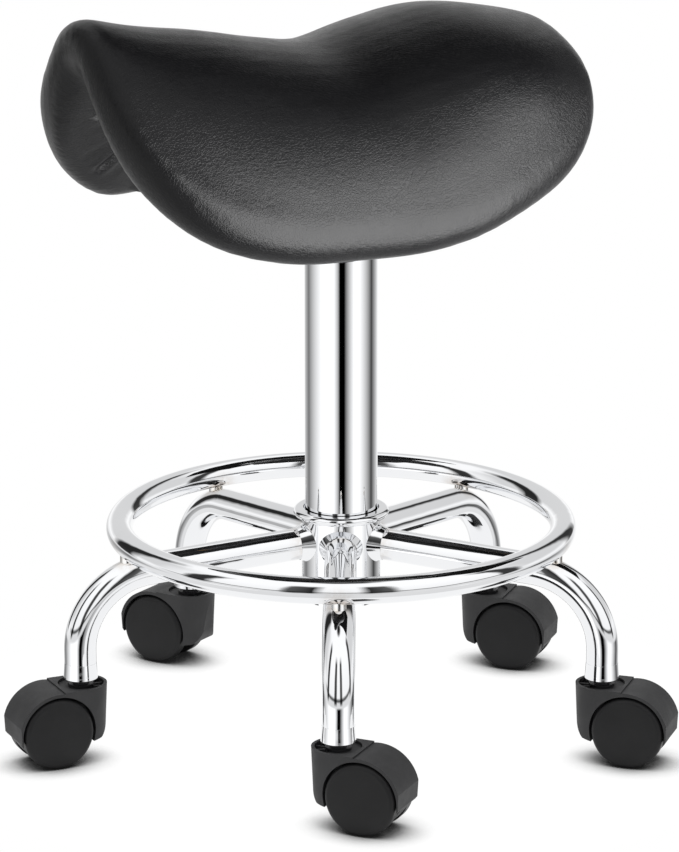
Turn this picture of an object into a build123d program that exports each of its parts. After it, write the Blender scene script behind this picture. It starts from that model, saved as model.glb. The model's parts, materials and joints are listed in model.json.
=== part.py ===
"""Adjustable swivel saddle stool: five-leg base on casters, footrest ring, gas lift and padded saddle seat.

Millimetres, +Z up. The origin is on the floor under the middle of the column, and leg 1 points along -Y.
"""

import math
import os

from build123d import *

# ---------------------------------------------------------------- driving dimensions
# hub and gas-lift column
COLUMN_R = 25.0
COLUMN_WALL = 1.5
COLUMN_BOTTOM = 103.0
COLUMN_TOP = 365.0
BUSH_LENGTH = 78.0
BUSH_CAP = 3.2
END_PLATE_THICK = 4.4
TAPER_TOP = 150.0
TAPER_DROP = 1.3
HUB_R = 27.3
HUB_BOTTOM = 98.0
HUB_LIP_R = 33.0
HUB_LIP_Z = 160.0
HUB_LIP_HALF = 3.0
LIP_GAP = 1.2
PRESS_GAP = 0.03

# legs and footrest ring
LEG_COUNT = 5
LEG_R = 11.0
LEG_WALL = 1.5
LEG_REACH = 187.6
LEG_HUB_Z = 139.5
LEG_SLOPE = 4.2
LEG_BEND_R = 53.0
LEG_TWIST = (-0.6, 0.0, 1.6, 0.0, 0.0)
LEG_FOOT_Z = 57.8
COLLAR_TOP = 69.0
COLLAR_R = 11.85
SOCKET_LENGTH = 14.0
WELD_START_R = 15.2
WELD_END_R = 11.3
WELD_LENGTH = 9.5
STUD_R = 5.0
RING_R = 153.4
RING_TUBE_R = 9.0
RING_WALL = 1.5
RING_Z = 150.0

# gas cylinder, piston rod and thrust bearing
CYLINDER_R = 14.0
CYLINDER_WALL = 2.0
CYLINDER_BOTTOM = 127.4
CYLINDER_TAPER_Z = 386.0
CYLINDER_TOP = 416.0
CYLINDER_TIP_R = 13.0
VALVE_R = 3.0
ROD_R = 5.0
ROD_NECK_R = 4.5
ROD_BOTTOM = 99.0
ROD_SHOULDER = 115.2
ROD_TOP = 304.0
PISTON_BOTTOM = 292.0
SEAL_LENGTH = 14.0
STOP_R = 11.0
CLIP_R = 9.0
RUNNING_GAP = 0.05

# casters
WHEEL_R = 25.0
WHEEL_INNER = 7.6
WHEEL_OUTER = 19.15
TRAIL = 22.2
AXLE_R = 4.0
HOOD_R = 28.8
WELL_R = 26.5
HOOD_HALF = 18.0
WEB_HALF = 7.2
NECK_TOP = 54.5
NECK_DRAFT = 2.2
NECK_TAPER = 2.5
NECK_ROUND = 14.0
NECK_CUP_WALL = 2.2
NECK_CUP_DEPTH = 10.0
RIB_THICK = 1.6
STEM_R = 5.5
CASTER_HEADINGS = (-23.8, -18.3, -20.0, 147.5, 204.6)

# saddle seat
SEAT_YAW = 26.4
SEAT_CENTRE = 20.3
SEAT_HALF = 178.8
SEAT_FLAP = 178.8
SEAT_THICK = 38.4
SHELL_THICK = 6.0
SHELL_INSET = 17.0
SHELL_GAP = 1.2
SEAT_CREST = ((-1.0, 472), (-0.78, 484), (-0.5, 490.5), (-0.25, 486), (0.0, 476),
              (0.2, 473.5), (0.45, 483.5), (0.75, 490), (1.0, 501))

# seat plate and lever
PLATE_TOP = 436.0
PLATE_THICK = 2.5
PLATE_FRONT = 50.0
PLATE_BACK = 65.0
PLATE_HALF = 42.0
BOLT_X = (-46.0, 36.0)
BOLT_Y = 30.0
CHANNEL_HALF = 22.0
CHANNEL_BOTTOM = 411.0
CHANNEL_FRONT = 30.0
CHANNEL_BACK = 60.0
SOCKET_R = 17.0
LEVER_R = 4.0
LEVER_Z = 424.0
PIVOT_X = -14.0
PIVOT_R = 2.0

os.makedirs("parts", exist_ok=True)


# ---------------------------------------------------------------- shared helpers
def upright(x, y, heading):
    """An upright plane at (x, y): its x runs along the heading and its y is up."""
    a = math.radians(heading)
    return Plane(origin=(x, y, 0), x_dir=(math.cos(a), math.sin(a), 0), z_dir=(math.sin(a), -math.cos(a), 0))


def leg_heading(index):
    """Heading of leg 1 to 5: leg 1 points along -Y, the rest follow anticlockwise from above.

    Each weld is a little off its even place, by the leg's twist.
    """
    return -90.0 + (index - 1) * 360.0 / LEG_COUNT + LEG_TWIST[index - 1]


def leg_point(index, reach):
    """Floor point under a leg, at a distance from the column's middle."""
    a = math.radians(leg_heading(index))
    return reach * math.cos(a), reach * math.sin(a)


def leg_foot(index):
    """Floor point under the vertical lower end of a leg."""
    return leg_point(index, LEG_REACH)


def seat_level(height):
    """A level plane at a height, with x towards the pommel and y towards the seat's left flap."""
    a = math.radians(SEAT_YAW)
    return Plane(origin=(0, 0, height), x_dir=(-math.cos(a), -math.sin(a), 0), z_dir=(0, 0, 1))


SEAT_SIDE = upright(0, 0, 180.0 + SEAT_YAW)


# ---------------------------------------------------------------- hub and column
with BuildPart() as hub:
    with BuildSketch(Plane.XZ):
        with BuildLine():
            Polyline(
                (COLUMN_R + PRESS_GAP - TAPER_DROP, HUB_BOTTOM),
                (HUB_R, HUB_BOTTOM),
                (HUB_R, HUB_LIP_Z),
                (COLUMN_R + LIP_GAP, HUB_LIP_Z),
                (COLUMN_R + LIP_GAP, HUB_LIP_Z - 5),
                (COLUMN_R + PRESS_GAP, HUB_LIP_Z - 5),
                (COLUMN_R + PRESS_GAP, TAPER_TOP),
                (COLUMN_R + PRESS_GAP - TAPER_DROP, COLUMN_BOTTOM),
                close=True,
            )
        make_face()
        lip_width = HUB_LIP_R - HUB_LIP_HALF - COLUMN_R - LIP_GAP
        with Locations((COLUMN_R + LIP_GAP + lip_width / 2, HUB_LIP_Z)):
            Rectangle(lip_width, 2 * HUB_LIP_HALF)
        with Locations((HUB_LIP_R - HUB_LIP_HALF, HUB_LIP_Z)):
            Circle(HUB_LIP_HALF)
    revolve(axis=Axis.Z)
hub.part.label = "hub"
export_step(hub.part, "parts/hub.step")

with BuildPart() as column_tube:
    with BuildSketch(Plane.XZ):
        with BuildLine():
            Polyline(
                (COLUMN_R - COLUMN_WALL - TAPER_DROP, COLUMN_BOTTOM),
                (COLUMN_R - TAPER_DROP, COLUMN_BOTTOM),
                (COLUMN_R, TAPER_TOP),
                (COLUMN_R, COLUMN_TOP),
                (COLUMN_R - COLUMN_WALL, COLUMN_TOP),
                (COLUMN_R - COLUMN_WALL, TAPER_TOP),
                close=True,
            )
        make_face()
    revolve(axis=Axis.Z)
column_tube.part.label = "column_tube"
export_step(column_tube.part, "parts/column_tube.step")

with BuildPart() as column_end_plate:
    with BuildSketch(Plane.XY.offset(COLUMN_BOTTOM + 0.6)):
        Circle(COLUMN_R - COLUMN_WALL - TAPER_DROP - PRESS_GAP)
        Circle(ROD_NECK_R + RUNNING_GAP, mode=Mode.SUBTRACT)
    extrude(amount=END_PLATE_THICK)
column_end_plate.part.label = "column_end_plate"
export_step(column_end_plate.part, "parts/column_end_plate.step")

with BuildPart() as guide_bush:
    with BuildSketch(Plane.XZ):
        with BuildLine():
            Polyline(
                (CYLINDER_R + RUNNING_GAP, COLUMN_TOP - BUSH_LENGTH),
                (COLUMN_R - COLUMN_WALL - PRESS_GAP, COLUMN_TOP - BUSH_LENGTH),
                (COLUMN_R - COLUMN_WALL - PRESS_GAP, COLUMN_TOP + PRESS_GAP),
                (COLUMN_R, COLUMN_TOP + PRESS_GAP),
                (COLUMN_R, COLUMN_TOP + BUSH_CAP - 1.2),
                (COLUMN_R - 1.5, COLUMN_TOP + BUSH_CAP),
                (CYLINDER_R + 1.5, COLUMN_TOP + BUSH_CAP),
                (CYLINDER_R + RUNNING_GAP, COLUMN_TOP + BUSH_CAP - 1.2),
                close=True,
            )
        make_face()
    revolve(axis=Axis.Z)
guide_bush.part.label = "guide_bush"
export_step(guide_bush.part, "parts/guide_bush.step")


# ---------------------------------------------------------------- legs
def leg_path(index):
    """Centreline of a leg: out from the hub with a slight fall, then a wide bend down to the caster."""
    fall = math.tan(math.radians(LEG_SLOPE))
    start_x = HUB_R - 5
    with BuildLine(upright(0, 0, leg_heading(index))) as path:
        FilletPolyline(
            (start_x, LEG_HUB_Z),
            (LEG_REACH, LEG_HUB_Z - (LEG_REACH - start_x) * fall),
            (LEG_REACH, LEG_FOOT_Z),
            radius=LEG_BEND_R,
        )
    return path


def leg_start(index):
    """Plane square to the leg's centreline at its hub end."""
    path = leg_path(index)
    return Plane(origin=path.line @ 0, z_dir=path.line % 0)


def make_leg(index, wall):
    """One leg as a tube with a rolled collar at its foot, or as a solid core where no wall is given."""
    with BuildPart() as leg:
        path = leg_path(index)
        with BuildSketch(leg_start(index)):
            Circle(LEG_R)
            if wall:
                Circle(LEG_R - wall, mode=Mode.SUBTRACT)
        sweep(path=path.line)
        with BuildSketch(Plane.XY.offset(HUB_BOTTOM)):
            Circle(HUB_R + PRESS_GAP)
        extrude(amount=HUB_LIP_Z - HUB_BOTTOM, mode=Mode.SUBTRACT)
        if wall:
            foot_x, foot_y = leg_foot(index)
            with BuildSketch(upright(foot_x, foot_y, leg_heading(index))):
                with BuildLine():
                    Polyline(
                        (LEG_R - LEG_WALL / 2, LEG_FOOT_Z),
                        (COLLAR_R - 0.5, LEG_FOOT_Z),
                        (COLLAR_R, LEG_FOOT_Z + 0.6),
                        (COLLAR_R - 0.15, LEG_FOOT_Z + 2.5),
                        (LEG_R + 0.1, COLLAR_TOP),
                        (LEG_R - LEG_WALL / 2, COLLAR_TOP),
                        close=True,
                    )
                make_face()
            revolve(axis=Axis((foot_x, foot_y, 0), (0, 0, 1)))
    return leg


for number in range(1, LEG_COUNT + 1):
    tube_leg = make_leg(number, LEG_WALL)
    tube_leg.part.label = f"leg_{number}"
    export_step(tube_leg.part, f"parts/leg_{number}.step")

leg_cores = [make_leg(number, 0).part for number in range(1, LEG_COUNT + 1)]

with BuildPart() as hub_welds:
    for number in range(1, LEG_COUNT + 1):
        with Locations(leg_start(number)):
            Cone(WELD_START_R, WELD_END_R, WELD_LENGTH, align=(Align.CENTER, Align.CENTER, Align.MIN))
    with BuildSketch(Plane.XY.offset(HUB_BOTTOM)):
        Circle(HUB_R + PRESS_GAP)
    extrude(amount=2 * (HUB_LIP_Z - HUB_BOTTOM), mode=Mode.SUBTRACT)
    for core in leg_cores:
        add(core, mode=Mode.SUBTRACT)
hub_welds.part.label = "hub_welds"
export_step(hub_welds.part, "parts/hub_welds.step")

with BuildPart() as stem_sockets:
    with BuildSketch(Plane.XY.offset(LEG_FOOT_Z)):
        with Locations([leg_foot(number) for number in range(1, LEG_COUNT + 1)]):
            Circle(LEG_R - LEG_WALL - PRESS_GAP)
            Circle(STEM_R + PRESS_GAP, mode=Mode.SUBTRACT)
    extrude(amount=SOCKET_LENGTH)
stem_sockets.part.label = "stem_sockets"
export_step(stem_sockets.part, "parts/stem_sockets.step")


# ---------------------------------------------------------------- footrest ring
with BuildPart() as footrest_ring:
    with Locations((0, 0, RING_Z)):
        Torus(RING_R, RING_TUBE_R)
        Torus(RING_R, RING_TUBE_R - RING_WALL, mode=Mode.SUBTRACT)
footrest_ring.part.label = "footrest_ring"
export_step(footrest_ring.part, "parts/footrest_ring.step")

with BuildPart() as ring_studs:
    with BuildSketch(Plane.XY.offset(RING_Z - 2 * LEG_R)):
        with Locations([leg_point(number, RING_R) for number in range(1, LEG_COUNT + 1)]):
            Circle(STUD_R)
    extrude(amount=2 * LEG_R)
    with Locations((0, 0, RING_Z)):
        Torus(RING_R, RING_TUBE_R + 0.02, mode=Mode.SUBTRACT)
    for core in leg_cores:
        add(core, mode=Mode.SUBTRACT)
ring_studs.part.label = "ring_studs"
export_step(ring_studs.part, "parts/ring_studs.step")


# ---------------------------------------------------------------- gas cylinder and piston rod
with BuildPart() as gas_cylinder:
    with BuildSketch(Plane.XZ):
        with BuildLine():
            Polyline(
                (CYLINDER_R - CYLINDER_WALL, CYLINDER_BOTTOM),
                (CYLINDER_R, CYLINDER_BOTTOM),
                (CYLINDER_R, CYLINDER_TAPER_Z),
                (CYLINDER_TIP_R, CYLINDER_TOP),
                (VALVE_R + RUNNING_GAP, CYLINDER_TOP),
                (VALVE_R + RUNNING_GAP, CYLINDER_TOP - 12),
                (CYLINDER_R - CYLINDER_WALL - 1, CYLINDER_TOP - 12),
                (CYLINDER_R - CYLINDER_WALL - 1, CYLINDER_TAPER_Z),
                (CYLINDER_R - CYLINDER_WALL, CYLINDER_TAPER_Z - 6),
                close=True,
            )
        make_face()
    revolve(axis=Axis.Z)
gas_cylinder.part.label = "gas_cylinder"
export_step(gas_cylinder.part, "parts/gas_cylinder.step")

with BuildPart() as rod_seal:
    with BuildSketch(Plane.XY.offset(CYLINDER_BOTTOM + 0.2)):
        Circle(CYLINDER_R - CYLINDER_WALL - PRESS_GAP)
        Circle(ROD_R + RUNNING_GAP, mode=Mode.SUBTRACT)
    extrude(amount=SEAL_LENGTH)
rod_seal.part.label = "rod_seal"
export_step(rod_seal.part, "parts/rod_seal.step")

with BuildPart() as valve_pin:
    with BuildSketch(Plane.XY.offset(CYLINDER_TOP - 10)):
        Circle(VALVE_R)
    extrude(amount=LEVER_Z - LEVER_R - 0.2 - CYLINDER_TOP + 10)
    chamfer(valve_pin.edges().sort_by(Axis.Z)[-1], length=2.0)
valve_pin.part.label = "valve_pin"
export_step(valve_pin.part, "parts/valve_pin.step")

with BuildPart() as piston_rod:
    with BuildSketch(Plane.XZ):
        with BuildLine():
            Polyline(
                (0, ROD_BOTTOM),
                (ROD_NECK_R - 0.8, ROD_BOTTOM),
                (ROD_NECK_R, ROD_BOTTOM + 0.8),
                (ROD_NECK_R, ROD_BOTTOM + 1.8),
                (ROD_NECK_R - 0.9, ROD_BOTTOM + 1.8),
                (ROD_NECK_R - 0.9, ROD_BOTTOM + 3.2),
                (ROD_NECK_R, ROD_BOTTOM + 3.2),
                (ROD_NECK_R, ROD_SHOULDER),
                (ROD_R, ROD_SHOULDER),
                (ROD_R, ROD_TOP - 14),
                (ROD_R - 1, ROD_TOP - 14),
                (ROD_R - 1, ROD_TOP),
                (0, ROD_TOP),
                close=True,
            )
        make_face()
    revolve(axis=Axis.Z)
piston_rod.part.label = "piston_rod"
export_step(piston_rod.part, "parts/piston_rod.step")

with BuildPart() as piston:
    with BuildSketch(Plane.XY.offset(PISTON_BOTTOM)):
        Circle(CYLINDER_R - CYLINDER_WALL - RUNNING_GAP)
        Circle(ROD_R - 1 + PRESS_GAP, mode=Mode.SUBTRACT)
    extrude(amount=ROD_TOP - PISTON_BOTTOM - 2)
    with BuildSketch(Plane.XY.offset(PISTON_BOTTOM + 3)):
        Circle(CYLINDER_R)
        Circle(CYLINDER_R - CYLINDER_WALL - 1.5, mode=Mode.SUBTRACT)
    extrude(amount=3, mode=Mode.SUBTRACT)
piston.part.label = "piston"
export_step(piston.part, "parts/piston.step")

with BuildPart() as retaining_clip:
    with BuildSketch(Plane.XY.offset(ROD_BOTTOM + 1.9)):
        Circle(CLIP_R)
        Circle(ROD_NECK_R - 0.9 + PRESS_GAP, mode=Mode.SUBTRACT)
        with Locations((7.0, 0)):
            Rectangle(10.0, 5.0, mode=Mode.SUBTRACT)
    extrude(amount=1.2)
retaining_clip.part.label = "retaining_clip"
export_step(retaining_clip.part, "parts/retaining_clip.step")

BALL_R = 1.5
BALL_COUNT = 12
BALL_CIRCLE_R = 8.0
RACE_R = 12.0
CAGE_R = 11.0
CAGE_THICK = 1.2
PLATE_SEAT = COLUMN_BOTTOM + 5.0
BALL_Z = PLATE_SEAT + 3.65

with BuildPart() as lower_race:
    with BuildSketch(Plane.XY.offset(PLATE_SEAT + 0.05)):
        Circle(RACE_R)
        Circle(ROD_NECK_R + RUNNING_GAP, mode=Mode.SUBTRACT)
    extrude(amount=1.95)
lower_race.part.label = "lower_race"
export_step(lower_race.part, "parts/lower_race.step")

with BuildPart() as upper_race:
    with BuildSketch(Plane.XY.offset(BALL_Z + BALL_R + PRESS_GAP)):
        Circle(RACE_R)
        Circle(ROD_NECK_R + PRESS_GAP, mode=Mode.SUBTRACT)
    extrude(amount=ROD_SHOULDER - BALL_Z - BALL_R - 2 * PRESS_GAP)
upper_race.part.label = "upper_race"
export_step(upper_race.part, "parts/upper_race.step")

with BuildPart() as bearing_balls:
    with Locations((0, 0, BALL_Z)):
        with PolarLocations(BALL_CIRCLE_R, BALL_COUNT):
            Sphere(BALL_R)
bearing_balls.part.label = "bearing_balls"
export_step(bearing_balls.part, "parts/bearing_balls.step")

with BuildPart() as ball_cage:
    with BuildSketch(Plane.XY.offset(BALL_Z - CAGE_THICK / 2)):
        Circle(CAGE_R)
        Circle(ROD_NECK_R + 0.4, mode=Mode.SUBTRACT)
        with PolarLocations(BALL_CIRCLE_R, BALL_COUNT):
            Circle(BALL_R + RUNNING_GAP, mode=Mode.SUBTRACT)
    extrude(amount=CAGE_THICK)
ball_cage.part.label = "ball_cage"
export_step(ball_cage.part, "parts/ball_cage.step")

with BuildPart() as bump_stop:
    with BuildSketch(Plane.XY.offset(ROD_SHOULDER + PRESS_GAP)):
        Circle(STOP_R)
        Circle(ROD_R + PRESS_GAP, mode=Mode.SUBTRACT)
    extrude(amount=CYLINDER_BOTTOM - ROD_SHOULDER - 0.4)
    chamfer(bump_stop.edges().group_by(Axis.Z)[-1].sort_by(SortBy.RADIUS)[-1], length=1.5)
bump_stop.part.label = "bump_stop"
export_step(bump_stop.part, "parts/bump_stop.step")


# ---------------------------------------------------------------- casters
def caster_side(index):
    """Upright plane through a caster's mid-plane, x along its trail."""
    foot_x, foot_y = leg_foot(index)
    return upright(foot_x, foot_y, CASTER_HEADINGS[index - 1])


def caster_level(index, height):
    """Level plane at a caster, x along its trail."""
    side = caster_side(index)
    return Plane(origin=(side.origin.X, side.origin.Y, height), x_dir=side.x_dir, z_dir=(0, 0, 1))


def caster_axle_axis(index):
    """The axle's centreline."""
    side = caster_side(index)
    return Axis(side.from_local_coords((TRAIL, WHEEL_R, 0)), side.z_dir)


def make_housing(index):
    """The hood over both wheels, the neck cup round the stem and the web that holds the axle."""
    side = caster_side(index)
    with BuildPart() as housing:
        with BuildSketch(side):
            with Locations((TRAIL, WHEEL_R)):
                Circle(HOOD_R)
            with Locations((0, (NECK_TOP + 8) / 2)):
                Rectangle(2 * HOOD_HALF, NECK_TOP - 8)
            neck_edge = -HOOD_HALF + NECK_DRAFT
            with BuildLine():
                Line((-HOOD_HALF, NECK_TOP - 4), (neck_edge, WHEEL_R + 4))
                corner = CenterArc((neck_edge + NECK_ROUND, WHEEL_R + 4), NECK_ROUND, 180, 55)
                Polyline(
                    corner @ 1,
                    (TRAIL + HOOD_R - 10, WHEEL_R - 15),
                    (TRAIL + HOOD_R, WHEEL_R - 2),
                    (TRAIL + HOOD_R + 5, WHEEL_R - 2),
                    (TRAIL + HOOD_R + 5, -5),
                    (-HOOD_HALF - 5, -5),
                    (-HOOD_HALF - 5, NECK_TOP - 4),
                    (-HOOD_HALF, NECK_TOP - 4),
                )
            make_face(mode=Mode.SUBTRACT)
        extrude(amount=HOOD_HALF, both=True)
        with BuildSketch(caster_level(index, NECK_TOP)):
            Circle(HOOD_HALF)
            with Locations(((TRAIL + HOOD_R) / 2, 0)):
                Rectangle(TRAIL + HOOD_R, 2 * HOOD_HALF)
        extrude(amount=-NECK_TOP, taper=NECK_TAPER, mode=Mode.INTERSECT)
        for way in (1, -1):
            with BuildSketch(side.offset(way * WEB_HALF)):
                with Locations((TRAIL, WHEEL_R)):
                    Circle(WELL_R)
            extrude(amount=way * HOOD_HALF, mode=Mode.SUBTRACT)
        with BuildSketch(caster_level(index, NECK_TOP)):
            Circle(HOOD_HALF - NECK_CUP_WALL)
        extrude(amount=-2.0, mode=Mode.SUBTRACT)
        with BuildSketch(caster_level(index, NECK_TOP - 2)):
            Circle(HOOD_HALF - NECK_CUP_WALL)
            with Locations((HOOD_HALF - 3, 0)):
                Rectangle(2 * HOOD_HALF, 2 * HOOD_HALF, mode=Mode.SUBTRACT)
            Circle(STEM_R + 2.6, mode=Mode.SUBTRACT)
            with PolarLocations(0, 3, start_angle=150, angular_range=90):
                with Locations((HOOD_HALF / 2, 0)):
                    Rectangle(HOOD_HALF, RIB_THICK, mode=Mode.SUBTRACT)
        extrude(amount=-NECK_CUP_DEPTH, mode=Mode.SUBTRACT)
        with BuildSketch(caster_level(index, WHEEL_R - 1)):
            Circle(STEM_R + RUNNING_GAP)
        extrude(amount=NECK_TOP, mode=Mode.SUBTRACT)
        with BuildSketch(side):
            with Locations((TRAIL, WHEEL_R)):
                Circle(AXLE_R + PRESS_GAP)
        extrude(amount=HOOD_HALF, both=True, mode=Mode.SUBTRACT)
    return housing


def make_stem(index):
    """Grip-ring stem, with a shoulder above the housing and a groove at its top."""
    foot_x, foot_y = leg_foot(index)
    with BuildPart() as stem:
        with BuildSketch(upright(foot_x, foot_y, 0)):
            with BuildLine():
                Polyline(
                    (0, WHEEL_R),
                    (STEM_R, WHEEL_R),
                    (STEM_R, NECK_TOP - 1.8),
                    (STEM_R + 3.2, NECK_TOP - 1.8),
                    (STEM_R + 3.2, NECK_TOP),
                    (STEM_R, NECK_TOP),
                    (STEM_R, LEG_FOOT_Z + 16),
                    (STEM_R - 0.6, LEG_FOOT_Z + 16),
                    (STEM_R - 0.6, LEG_FOOT_Z + 18),
                    (STEM_R, LEG_FOOT_Z + 18),
                    (STEM_R, LEG_FOOT_Z + 20),
                    (STEM_R - 1.5, LEG_FOOT_Z + 22),
                    (0, LEG_FOOT_Z + 22),
                    close=True,
                )
            make_face()
        revolve(axis=Axis((foot_x, foot_y, 0), (0, 0, 1)))
    return stem


def make_axle(index):
    """Axle pin pressed through the housing's web."""
    with BuildPart() as axle:
        with BuildSketch(caster_side(index)):
            with Locations((TRAIL, WHEEL_R)):
                Circle(AXLE_R)
        extrude(amount=WHEEL_OUTER - 2.6, both=True)
    return axle


def make_wheel(index, way):
    """One wheel: a rim, a blind hub on the axle and a smooth domed outer face. The way is +1 or -1."""
    level = caster_level(index, WHEEL_R)
    with BuildPart() as wheel:
        with BuildSketch(level):
            with BuildLine():
                Polyline(
                    (TRAIL, way * WHEEL_OUTER),
                    (TRAIL, way * (WHEEL_OUTER - 2.2)),
                    (TRAIL + AXLE_R + RUNNING_GAP, way * (WHEEL_OUTER - 2.2)),
                    (TRAIL + AXLE_R + RUNNING_GAP, way * WHEEL_INNER),
                    (TRAIL + 9, way * WHEEL_INNER),
                    (TRAIL + 9, way * (WHEEL_OUTER - 3)),
                    (TRAIL + 20, way * (WHEEL_OUTER - 3.6)),
                    (TRAIL + 21, way * WHEEL_INNER),
                    (TRAIL + WHEEL_R - 1, way * WHEEL_INNER),
                    (TRAIL + WHEEL_R, way * (WHEEL_INNER + 1)),
                    (TRAIL + WHEEL_R, way * (WHEEL_OUTER - 4)),
                )
                ThreePointArc(
                    (TRAIL + WHEEL_R, way * (WHEEL_OUTER - 4)),
                    (TRAIL + WHEEL_R - 1.2, way * (WHEEL_OUTER - 1.8)),
                    (TRAIL + WHEEL_R - 4, way * (WHEEL_OUTER - 0.8)),
                )
                ThreePointArc(
                    (TRAIL + WHEEL_R - 4, way * (WHEEL_OUTER - 0.8)),
                    (TRAIL + WHEEL_R / 2 + 1, way * (WHEEL_OUTER - 0.25)),
                    (TRAIL + 5, way * WHEEL_OUTER),
                )
                Line((TRAIL + 5, way * WHEEL_OUTER), (TRAIL, way * WHEEL_OUTER))
            make_face()
        revolve(axis=caster_axle_axis(index))
    return wheel


for number in range(1, LEG_COUNT + 1):
    for kind, maker in (("housing", make_housing), ("stem", make_stem), ("axle", make_axle)):
        piece = maker(number)
        piece.part.label = f"caster_{number}_{kind}"
        export_step(piece.part, f"parts/caster_{number}_{kind}.step")
    for kind, way in (("wheel_a", 1), ("wheel_b", -1)):
        piece = make_wheel(number, way)
        piece.part.label = f"caster_{number}_{kind}"
        export_step(piece.part, f"parts/caster_{number}_{kind}.step")


# ---------------------------------------------------------------- saddle seat
OUTLINE_STEPS = 18
OUTLINE_POWER = 2.75


def crest_height(s):
    """Height of the pad's mid-surface along its centreline: a smooth curve through the crest points."""
    points = SEAT_CREST
    k = max(i for i in range(len(points) - 1) if points[i][0] <= s or i == 0)
    p0 = points[max(k - 1, 0)]
    p1 = points[k]
    p2 = points[k + 1]
    p3 = points[min(k + 2, len(points) - 1)]
    span = p2[0] - p1[0]
    t = (s - p1[0]) / span
    slope_1 = (p2[1] - p0[1]) / (p2[0] - p0[0]) * span
    slope_2 = (p3[1] - p1[1]) / (p3[0] - p1[0]) * span
    rise = p2[1] - p1[1]
    a = slope_1 + slope_2 - 2 * rise
    b = 3 * rise - 2 * slope_1 - slope_2
    return ((a * t + b) * t + slope_1) * t + p1[1]


def saddle_outline(s, inset, thick, lift):
    """Upper and lower outline across the seat at s, -1 at the cantle and 1 at the pommel.

    The pad is a thick sheet bent over a round back: its middle is an arc, and its flaps run on straight.
    """
    bend_r = 91.9 - 30.6 * s - 30.9 * s * s
    bend_max = 0.95 - 0.117 * s - 0.024 * s * s
    plan = (1 - abs(s) ** OUTLINE_POWER) ** (1 / OUTLINE_POWER)
    half_arc = SEAT_FLAP * (1 + 0.009 * s + 0.037 * s * s) * plan - inset
    end_fade = min((1 - abs(s)) * SEAT_HALF / (thick / 2), 1.0)
    depth = thick * math.sqrt(1 - (1 - end_fade) ** 2)
    middle = crest_height(s)
    runs = []
    for side in (1, -1):
        run_points = []
        for i in range(OUTLINE_STEPS + 1):
            across = side * half_arc * math.sin(math.pi * (i / OUTLINE_STEPS - 0.5))
            edge = min((half_arc - abs(across)) / (thick / 2), 1.0)
            off = lift + side * depth / 2 * math.sqrt(1 - (1 - edge) ** 2)
            turn = min(abs(across) / bend_r, bend_max)
            straight = abs(across) - turn * bend_r
            out = (bend_r + off) * math.sin(turn) + straight * math.cos(turn)
            down = bend_r - (bend_r + off) * math.cos(turn) + straight * math.sin(turn)
            run_points.append((math.copysign(out, across), middle - down))
        runs.append(run_points)
    return runs


def saddle_sheet(stations, inset, thick, lift):
    """A saddle-shaped sheet, lofted through outlines at the given stations."""
    along = seat_level(0).x_dir
    with BuildPart() as sheet:
        for s in stations:
            centre = along * (SEAT_CENTRE + s * SEAT_HALF)
            with BuildSketch(Plane(origin=centre, x_dir=seat_level(0).y_dir, z_dir=along)):
                with BuildLine():
                    for run in saddle_outline(s, inset, thick, lift):
                        Spline(*run)
                make_face()
        loft()
    return sheet


PAD_THICK = SEAT_THICK - SHELL_THICK - SHELL_GAP
PAD_LIFT = (SEAT_THICK - PAD_THICK) / 2
SHELL_LIFT = -(SEAT_THICK - SHELL_THICK) / 2
PAD_STATIONS = (-0.99, -0.96, -0.9, -0.78, -0.6, -0.4, -0.2, 0.0, 0.2, 0.4, 0.6, 0.78, 0.9, 0.96, 0.99)
SHELL_STATIONS = (-0.88, -0.8, -0.6, -0.4, -0.2, 0.0, 0.2, 0.4, 0.6, 0.8, 0.88)

seat_cushion = saddle_sheet(PAD_STATIONS, 0, PAD_THICK, PAD_LIFT)
seat_cushion.part.label = "seat_cushion"
export_step(seat_cushion.part, "parts/seat_cushion.step")

seat_shell = saddle_sheet(SHELL_STATIONS, SHELL_INSET, SHELL_THICK, SHELL_LIFT)
seat_shell.part.label = "seat_shell"
export_step(seat_shell.part, "parts/seat_shell.step")


# ---------------------------------------------------------------- mounting block and seat plate
BLOCK_STATIONS = (-0.56, -0.4, -0.2, 0.0, 0.2, 0.36)
BLOCK_GAP = 1.6
BLOCK_HEIGHT = 42.0
INSERT_R = 5.0
INSERT_LENGTH = 7.0
BOLT_R = 3.0
BOLT_PLACES = [(x, y) for x in BOLT_X for y in (-BOLT_Y, BOLT_Y)]
PLATE_LENGTH = PLATE_FRONT + PLATE_BACK
PLATE_MID = (PLATE_FRONT - PLATE_BACK) / 2
PLATE_UNDER = PLATE_TOP - PLATE_THICK
CHANNEL_LENGTH = CHANNEL_FRONT + CHANNEL_BACK
CHANNEL_MID = (CHANNEL_FRONT - CHANNEL_BACK) / 2
CHANNEL_WALL = 2.0
FLANGE_DROP = 6.0
WASHER_R = 6.9
WASHER_THICK = 1.4
BOLT_HEAD_R = 5.7
BOLT_HEAD_THICK = 4.2

ARCH_INSET = 60.0
CUTTER_THICK = 40.0
CUTTER_LIFT = (CUTTER_THICK - SEAT_THICK) / 2 - BLOCK_GAP
arch_cutter = saddle_sheet(BLOCK_STATIONS, ARCH_INSET, CUTTER_THICK, CUTTER_LIFT).part

with BuildPart() as mounting_block:
    with BuildSketch(seat_level(PLATE_TOP + 0.05)):
        with Locations((PLATE_MID, 0)):
            Rectangle(PLATE_LENGTH, 2 * PLATE_HALF)
    extrude(amount=BLOCK_HEIGHT)
    add(arch_cutter, mode=Mode.SUBTRACT)
    with BuildSketch(seat_level(PLATE_TOP)):
        with Locations(BOLT_PLACES):
            Circle(INSERT_R + PRESS_GAP)
    extrude(amount=INSERT_LENGTH + 1, mode=Mode.SUBTRACT)
mounting_block.part.label = "mounting_block"
export_step(mounting_block.part, "parts/mounting_block.step")

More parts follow.
